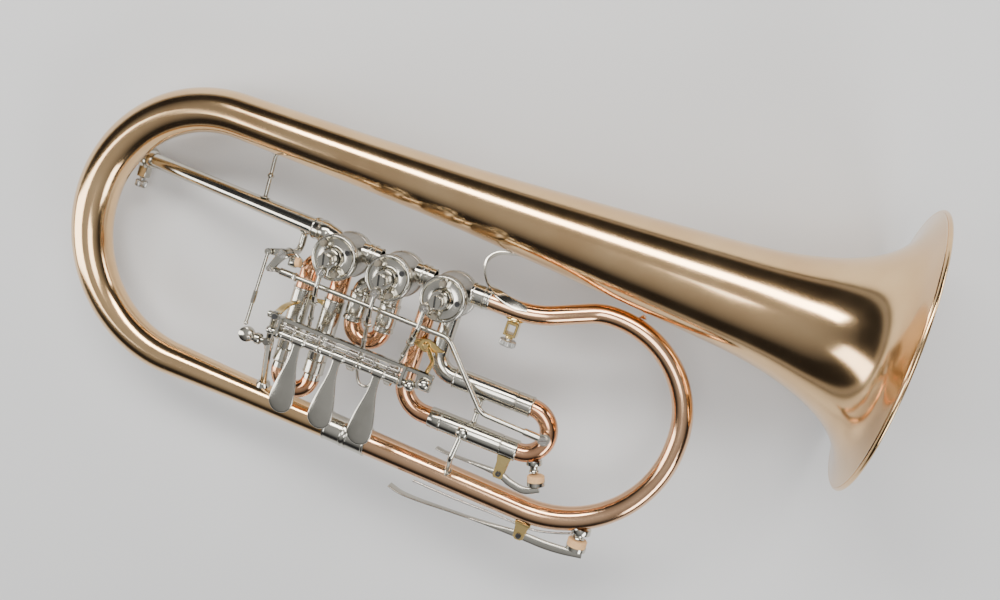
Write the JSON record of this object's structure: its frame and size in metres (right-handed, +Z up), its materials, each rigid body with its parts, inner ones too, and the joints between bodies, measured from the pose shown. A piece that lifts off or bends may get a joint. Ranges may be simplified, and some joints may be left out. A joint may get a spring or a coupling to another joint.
{
  "type": "flugelhorn",
  "caption": "Rotary-valve flugelhorn with conical brass tubing, levers and links, pulling slides with a thumb trigger, water keys, lyre box and finger ring.",
  "frame": {"origin": "centre of the footprint, on the surface that the instrument lies on", "axes": "+X towards the bell's mouth, +Y towards the bell's side of the loop, +Z up, with the levers on top"},
  "size_m": [0.467, 0.2496, 0.1514],
  "materials": {
    "gold_brass": "clear-lacquered pale gold brass, polished",
    "rose_brass": "clear-lacquered rose brass, polished",
    "yellow_brass": "lacquered yellow brass fittings",
    "nickel_silver": "polished nickel silver",
    "spring_steel": "drawn steel wire and turned screws",
    "cork": "tan synthetic cork"
  },
  "bodies": {
    "root": {"bell": "gold_brass", "rim_wire": "gold_brass", "main_bow": "gold_brass", "wide_ferrule": "nickel_silver", "rear_branch": "rose_brass", "valve_knuckle_1": "nickel_silver", "valve_knuckle_2": "nickel_silver", "valve_casing_1": "nickel_silver", "bottom_cap_1": "nickel_silver", "top_plate_1": "nickel_silver", "valve_casing_2": "nickel_silver", "bottom_cap_2": "nickel_silver", "top_plate_2": "nickel_silver", "valve_casing_3": "nickel_silver", "bottom_cap_3": "nickel_silver", "top_plate_3": "nickel_silver", "lever_axle": "nickel_silver", "lever_frame": "nickel_silver", "lever_spring_1": "spring_steel", "lever_spring_2": "spring_steel", "lever_spring_3": "spring_steel", "mouthpipe": "nickel_silver", "mouthpiece_receiver": "nickel_silver", "mouthpipe_brace": "nickel_silver", "first_slide_tubes": "nickel_silver", "second_slide_tubes": "nickel_silver", "third_slide_tubes": "nickel_silver", "water_key_seat": "yellow_brass", "lyre_box": "yellow_brass", "finger_ring": "yellow_brass", "trigger_post": "nickel_silver", "trigger_bumper": "cork"},
    "lever_1_body": {"lever_1": "nickel_silver"},
    "rotor_1_body": {"rotor_1": "nickel_silver", "stop_arm_1": "nickel_silver", "hub_screw_1": "spring_steel"},
    "link_1_body": {"link_1": "nickel_silver"},
    "lever_2_body": {"lever_2": "nickel_silver"},
    "rotor_2_body": {"rotor_2": "nickel_silver", "stop_arm_2": "nickel_silver", "hub_screw_2": "spring_steel"},
    "link_2_body": {"link_2": "nickel_silver"},
    "lever_3_body": {"lever_3": "nickel_silver"},
    "rotor_3_body": {"rotor_3": "nickel_silver", "stop_arm_3": "nickel_silver", "hub_screw_3": "spring_steel"},
    "link_3_body": {"link_3": "nickel_silver"},
    "third_slide_body": {"third_slide_crook": "rose_brass", "trigger_rod": "spring_steel"},
    "first_slide_body": {"first_slide_crook": "rose_brass"},
    "second_slide_body": {"second_slide_crook": "rose_brass"},
    "trigger_crank_body": {"trigger_crank": "nickel_silver"},
    "trigger_link_body": {"trigger_link": "nickel_silver"},
    "thumb_lever_body": {"thumb_lever": "nickel_silver"},
    "third_water_key_body": {"third_water_key": "nickel_silver", "third_water_key_cork": "cork"},
    "water_key_body": {"water_key": "nickel_silver", "water_key_cork": "cork"},
    "clamp_screw_body": {"clamp_screw": "nickel_silver"},
    "lyre_screw_body": {"lyre_screw": "nickel_silver"}
  },
  "joints": [
    {"name": "lever_1_press", "type": "hinge", "parent": "root", "child": "lever_1_body", "pos_m": [-0.06517, -0.04905, 0.08803], "axis": [0.9951, 0, 0.0993], "range_deg": [0, 28], "stiffness_Nm_per_rad": 0.15, "springref_deg": -22.92},
    {"name": "rotor_1_turn", "type": "hinge", "parent": "root", "child": "rotor_1_body", "pos_m": [-0.06209, -0.00225, 0.0622], "axis": [-0.0993, 0, 0.9951], "range_deg": [-90, 0]},
    {"name": "link_1_swing", "type": "hinge", "parent": "root", "child": "link_1_body", "pos_m": [-0.11044, -0.04275, 0.07346], "axis": [-0.0993, 0, 0.9951], "range_deg": [0, 10.5]},
    {"name": "lever_2_press", "type": "hinge", "parent": "root", "child": "lever_2_body", "pos_m": [-0.04178, -0.04905, 0.09036], "axis": [0.9951, 0, 0.0993], "range_deg": [0, 28], "stiffness_Nm_per_rad": 0.15, "springref_deg": -22.92},
    {"name": "rotor_2_turn", "type": "hinge", "parent": "root", "child": "rotor_2_body", "pos_m": [-0.03024, -0.00225, 0.06538], "axis": [-0.0993, 0, 0.9951], "range_deg": [-90, 0]},
    {"name": "link_2_swing", "type": "hinge", "parent": "root", "child": "link_2_body", "pos_m": [-0.0779, -0.04275, 0.0767], "axis": [-0.0993, 0, 0.9951], "range_deg": [0, 10.5]},
    {"name": "lever_3_press", "type": "hinge", "parent": "root", "child": "lever_3_body", "pos_m": [-0.0184, -0.04905, 0.09269], "axis": [0.9951, 0, 0.0993], "range_deg": [0, 28], "stiffness_Nm_per_rad": 0.15, "springref_deg": -22.92},
    {"name": "rotor_3_turn", "type": "hinge", "parent": "root", "child": "rotor_3_body", "pos_m": [0.0016, -0.00225, 0.06856], "axis": [-0.0993, 0, 0.9951], "range_deg": [-90, 0]},
    {"name": "link_3_swing", "type": "hinge", "parent": "root", "child": "link_3_body", "pos_m": [-0.19482, -0.04275, 0.06503], "axis": [-0.0993, 0, 0.9951], "range_deg": [0, 2.5]},
    {"name": "third_slide_pull", "type": "slide", "parent": "root", "child": "third_slide_body", "axis": [0.9951, 0, 0.0993], "range_m": [0, 0.01]},
    {"name": "first_slide_pull", "type": "slide", "parent": "root", "child": "first_slide_body", "axis": [0, -1, 0], "range_m": [0, 0.02]},
    {"name": "second_slide_pull", "type": "slide", "parent": "root", "child": "second_slide_body", "axis": [0, -1, 0], "range_m": [0, 0.008]},
    {"name": "trigger_crank_turn", "type": "hinge", "parent": "root", "child": "trigger_crank_body", "pos_m": [-0.08945, -0.00925, 0.07455], "axis": [-0.0993, 0, 0.9951], "range_deg": [0, 54]},
    {"name": "trigger_link_swing", "type": "hinge", "parent": "root", "child": "trigger_link_body", "pos_m": [-0.14248, -0.05375, 0.07428], "axis": [0.0993, 0, -0.9951], "range_deg": [0, 7.9]},
    {"name": "thumb_lever_turn", "type": "hinge", "parent": "root", "child": "thumb_lever_body", "pos_m": [-0.09372, -0.05875, 0.07713], "axis": [0.9951, 0, 0.0993], "range_deg": [0, 40]},
    {"name": "third_water_key_open", "type": "hinge", "parent": "third_slide_body", "child": "third_water_key_body", "pos_m": [0.05881, -0.08425, 0.07427], "axis": [0.0993, 0, -0.9951], "range_deg": [0, 11], "stiffness_Nm_per_rad": 0.03, "springref_deg": -20.05},
    {"name": "water_key_open", "type": "hinge", "parent": "root", "child": "water_key_body", "pos_m": [0.0807, -0.11895, 0.06138], "axis": [0.0993, 0, -0.9951], "range_deg": [0, 6], "stiffness_Nm_per_rad": 0.04, "springref_deg": -20.05},
    {"name": "clamp_screw_turn", "type": "hinge", "parent": "root", "child": "clamp_screw_body", "pos_m": [-0.20499, -0.01075, 0.0138], "axis": [0, -1, 0], "range_deg": [0, 180]},
    {"name": "lyre_screw_turn", "type": "hinge", "parent": "root", "child": "lyre_screw_body", "pos_m": [0.03941, -0.01475, 0.06731], "axis": [0, -1, 0], "range_deg": [0, 180]}
  ],
  "couplings": [
    {"joint": "rotor_1_turn", "follows": "lever_1_press", "ratio": -3.2143},
    {"joint": "link_1_swing", "follows": "lever_1_press", "ratio": 0.375},
    {"joint": "rotor_2_turn", "follows": "lever_2_press", "ratio": -3.2143},
    {"joint": "link_2_swing", "follows": "lever_2_press", "ratio": 0.375},
    {"joint": "rotor_3_turn", "follows": "lever_3_press", "ratio": -3.2143},
    {"joint": "link_3_swing", "follows": "lever_3_press", "ratio": 0.089286},
    {"joint": "trigger_crank_turn", "follows": "third_slide_pull", "rad_per_m": 94.248},
    {"joint": "trigger_link_swing", "follows": "third_slide_pull", "rad_per_m": 13.788},
    {"joint": "thumb_lever_turn", "follows": "third_slide_pull", "rad_per_m": 69.813}
  ]
}
